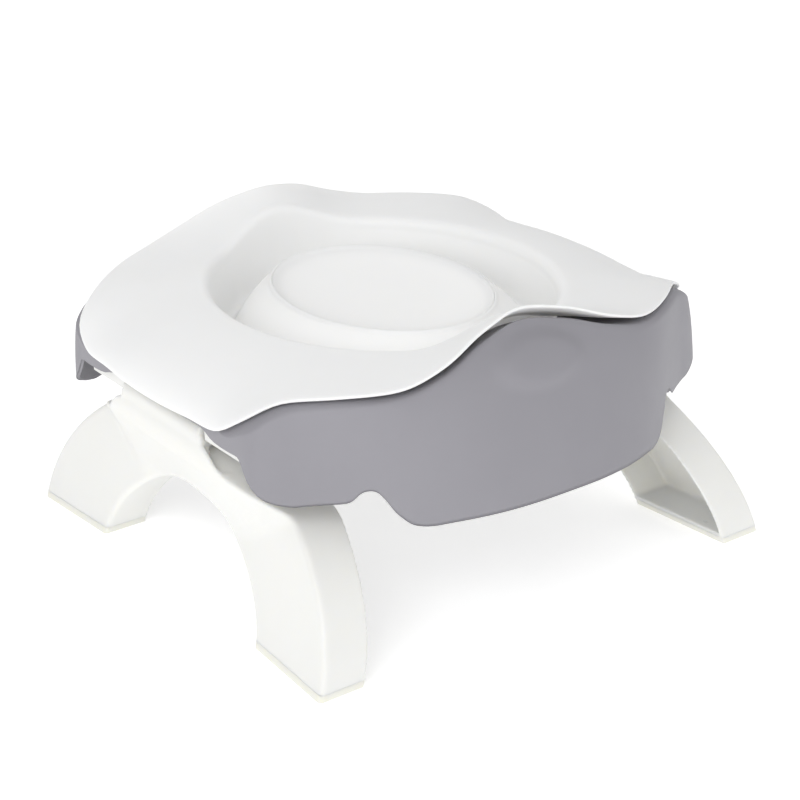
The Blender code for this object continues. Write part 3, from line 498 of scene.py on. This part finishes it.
def right_leg_mesh():
    foot_z = PAD_THICK + FOOT_GAP
    pieces = [
        arch_sweep("channel", 0.0, channel_outline, CUT_LOW, 1.0),
        arch_sweep("soles", 0.0004, lambda width: solid_outline(width, LEG_DEPTH - 0.0004), CUT_LOW,
                   foot_z + LEG_WALL),
        neck_object("neck"),
        bar("knuckle", (HINGE_X, -KNUCKLE_HALF, HINGE_Z), (HINGE_X, KNUCKLE_HALF, HINGE_Z), KNUCKLE_R),
    ]
    leg = bpy.data.objects.new("leg", merged(pieces))
    bpy.context.scene.collection.objects.link(leg)
    drills = [bar("bore", (HINGE_X, -0.06, HINGE_Z), (HINGE_X, 0.06, HINGE_Z), ROD_BORE, 24)]
    for _, way in ENDS:
        drills.append(bar("hole", (HOLE_X, way * HOLE_Y, -0.01), (HOLE_X, way * HOLE_Y, 0.02), HOLE_R, 20))
    for drill in drills:
        cut = leg.modifiers.new(drill.name, "BOOLEAN")
        cut.operation, cut.object, cut.solver = "DIFFERENCE", drill, "EXACT"
    mesh = evaluated_mesh(leg)
    for drill in drills:
        bpy.data.objects.remove(drill)
    cut_level(mesh, foot_z, 1.0)
    return mesh


def right_pads():
    """The front and back soles of the right leg, as two meshes."""
    both = arch_sweep("pads", 0.0002, lambda width: solid_outline(width, LEG_DEPTH - 0.0003, 0.0012), 0.0,
                      PAD_THICK)
    meshes = []
    for _, way in ENDS:
        mesh = both.data.copy()
        shape = bmesh.new()
        shape.from_mesh(mesh)
        bmesh.ops.delete(shape, geom=[v for v in shape.verts if v.co.y * way < 0], context="VERTS")
        shape.to_mesh(mesh)
        shape.free()
        meshes.append(mesh)
    bpy.data.objects.remove(both)
    return meshes


def mirrored(mesh):
    mesh = mesh.copy()
    mesh.transform(Matrix.Diagonal((-1, 1, 1, 1)))
    mesh.flip_normals()
    return mesh


# ---------------------------------------------------------------- materials
def moulded(name, colour, roughness, grain, bump, mottle, subsurface=0.0, radius=(1, 1, 1)):
    """Moulded plastic or silicone: slight mottling, uneven gloss and a fine surface grain."""
    made = bpy.data.materials.new(name)
    made.use_nodes = True
    nodes, links = made.node_tree.nodes, made.node_tree.links
    shader = nodes["Principled BSDF"]
    place = nodes.new("ShaderNodeTexCoord")

    def noise(scale, detail):
        node = nodes.new("ShaderNodeTexNoise")
        node.inputs["Scale"].default_value = scale
        node.inputs["Detail"].default_value = detail
        links.new(place.outputs["Object"], node.inputs["Vector"])
        return node

    broad = noise(22, 3)
    ramp = nodes.new("ShaderNodeValToRGB")
    low = [max(0.0, c * (1 - mottle)) for c in colour]
    high = [min(1.0, c * (1 + mottle)) for c in colour]
    ramp.color_ramp.elements[0].position, ramp.color_ramp.elements[1].position = 0.3, 0.7
    ramp.color_ramp.elements[0].color = (*low, 1)
    ramp.color_ramp.elements[1].color = (*high, 1)
    links.new(broad.outputs["Fac"], ramp.inputs["Fac"])
    links.new(ramp.outputs["Color"], shader.inputs["Base Color"])

    gloss = nodes.new("ShaderNodeMapRange")
    gloss.inputs["To Min"].default_value = roughness - 0.05
    gloss.inputs["To Max"].default_value = roughness + 0.05
    links.new(noise(90, 2).outputs["Fac"], gloss.inputs["Value"])
    links.new(gloss.outputs["Result"], shader.inputs["Roughness"])

    relief = nodes.new("ShaderNodeBump")
    relief.inputs["Strength"].default_value = bump
    relief.inputs["Distance"].default_value = GRAIN_DEPTH
    links.new(noise(grain, 2).outputs["Fac"], relief.inputs["Height"])
    links.new(relief.outputs["Normal"], shader.inputs["Normal"])

    shader.inputs["Subsurface Weight"].default_value = subsurface
    shader.inputs["Subsurface Radius"].default_value = radius
    shader.inputs["Subsurface Scale"].default_value = GLOW_DEPTH
    return made


def brushed_steel(name):
    made = bpy.data.materials.new(name)
    made.use_nodes = True
    nodes, links = made.node_tree.nodes, made.node_tree.links
    shader = nodes["Principled BSDF"]
    shader.inputs["Metallic"].default_value = 1.0
    shader.inputs["Base Color"].default_value = (0.55, 0.55, 0.56, 1)
    place, stretch, streaks = (nodes.new(kind) for kind in
                               ("ShaderNodeTexCoord", "ShaderNodeMapping", "ShaderNodeTexNoise"))
    stretch.inputs["Scale"].default_value = (900, 40, 900)
    rough = nodes.new("ShaderNodeMapRange")
    rough.inputs["To Min"].default_value, rough.inputs["To Max"].default_value = 0.22, 0.42
    links.new(place.outputs["Object"], stretch.inputs["Vector"])
    links.new(stretch.outputs["Vector"], streaks.inputs["Vector"])
    links.new(streaks.outputs["Fac"], rough.inputs["Value"])
    links.new(rough.outputs["Result"], shader.inputs["Roughness"])
    return made


# ---------------------------------------------------------------- the object
def build_seat(looks):
    liner = ring_object("silicone_liner", looks["liner"], list(np.arange(0, 90.01, 1.5)), liner_section, FRONT_DROP)
    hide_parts("liner_seat")
    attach(liner, "liner")

    wall = ring_object("bowl_soft_wall", looks["liner"], list(np.arange(0, 90.01, 2.5)), bowl_wall_section)
    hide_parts("bowl_wall")
    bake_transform(wall)

    cup = bowl_cup(looks["liner"])
    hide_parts("bowl_cup")
    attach(cup, "bowl")

    wide, notch, side = np.arange(0, 28, 1.25), np.arange(28, 63, 0.5), np.arange(63, 90.01, 1.5)
    body = ring_object("grey_seat_body", looks["body"], [*wide, *notch, *side], body_section, FRONT_DROP)
    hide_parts("seat_body")
    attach(body, "seat")


def build_legs(looks):
    leg_mesh = right_leg_mesh()
    pad_meshes = right_pads()
    for side, sign in SIDES:
        mesh = leg_mesh if sign > 0 else mirrored(leg_mesh)
        mesh.materials.clear()
        leg = link_mesh(f"{side}_arched_leg", mesh, looks["leg"])
        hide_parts(f"{side}_leg")
        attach(leg, f"{side}_leg_frame")
        for (end, _), pad_mesh in zip(ENDS, pad_meshes):
            pad = link_mesh(f"{side}_{end}_soft_sole", pad_mesh if sign > 0 else mirrored(pad_mesh), looks["pad"])
            pad.data.set_sharp_from_angle(angle=radians(40))
            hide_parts(f"{side}_{end}_foot_pad")
            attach(pad, f"{side}_leg_frame")


def dress_cad_nodes(looks):
    """Better materials for the CAD nodes that stay: rails, rods, plugs, screws and springs."""
    for name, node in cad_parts.items():
        if node.hide_render:
            continue
        look = looks["rail"] if name.endswith(("hinge_rail", "rod_plug")) else looks["steel"]
        for slot in node.material_slots:
            slot.material = look


# ---------------------------------------------------------------- floor, light and camera
def build_stage():
    floor_look = bpy.data.materials.new("floor_white")
    floor_look.use_nodes = True
    shader = floor_look.node_tree.nodes["Principled BSDF"]
    shader.inputs["Base Color"].default_value = (0.93, 0.93, 0.93, 1)
    shader.inputs["Roughness"].default_value = 0.9
    shader.inputs["Emission Color"].default_value = (1.0, 1.0, 1.0, 1)
    shader.inputs["Emission Strength"].default_value = FLOOR_GLOW
    h = FLOOR_HALF
    floor = new_object("floor", [(-h, -h, 0), (h, -h, 0), (h, h, 0), (-h, h, 0)], [(0, 1, 2, 3)], floor_look)

    world = bpy.data.worlds.new("studio")
    bpy.context.scene.world = world
    world.use_nodes = True
    sky = world.node_tree.nodes["Background"]
    sky.inputs["Color"].default_value = (1.0, 1.0, 1.0, 1)
    sky.inputs["Strength"].default_value = WORLD_LIGHT

    for name, place, size, power in LIGHTS:
        light = bpy.data.lights.new(name, "AREA")
        light.size, light.energy = size, power
        lamp = bpy.data.objects.new(name, light)
        lamp.location = place
        lamp.rotation_euler = (Vector(place) - CAMERA_TARGET).to_track_quat("Z", "Y").to_euler()
        bpy.context.scene.collection.objects.link(lamp)


def build_camera():
    a, e, roll = CAMERA_AZIMUTH, CAMERA_ELEVATION, CAMERA_ROLL
    back = Vector((sin(a) * cos(e), -cos(a) * cos(e), sin(e)))
    right = Vector((cos(a), sin(a), 0))
    up = back.cross(right)
    across, upward = right * cos(roll) + up * sin(roll), up * cos(roll) - right * sin(roll)
    data = bpy.data.cameras.new("camera")
    data.lens, data.sensor_width = CAMERA_LENS, 36.0
    camera = bpy.data.objects.new("camera", data)
    bpy.context.scene.collection.objects.link(camera)
    turn = Matrix((across, upward, back)).transposed().to_4x4()
    camera.matrix_world = Matrix.Translation(CAMERA_TARGET + back * CAMERA_DISTANCE) @ turn
    bpy.context.scene.camera = camera


bpy.context.scene.view_settings.view_transform = "Standard"
build_camera()
LOOKS = {
    "liner": moulded("silicone_soft_white", (0.925, 0.925, 0.915), 0.52, 1400, 0.05, 0.006, 0.40, (1, 0.95, 0.85)),
    "body": moulded("grey_textured_pp", (0.274, 0.268, 0.294), 0.50, 2600, 0.30, 0.02),
    "leg": moulded("white_pp", (0.80, 0.80, 0.775), 0.40, 1600, 0.06, 0.006, 0.45, (1, 0.93, 0.75)),
    "rail": moulded("rail_pp", (0.84, 0.84, 0.82), 0.42, 1600, 0.06, 0.006),
    "pad": moulded("clear_soft_tpe", (0.78, 0.775, 0.71), 0.45, 900, 0.08, 0.02, 0.5, (1, 0.9, 0.5)),
    "steel": brushed_steel("rod_steel"),
}
build_seat(LOOKS)
build_legs(LOOKS)
dress_cad_nodes(LOOKS)
build_stage()
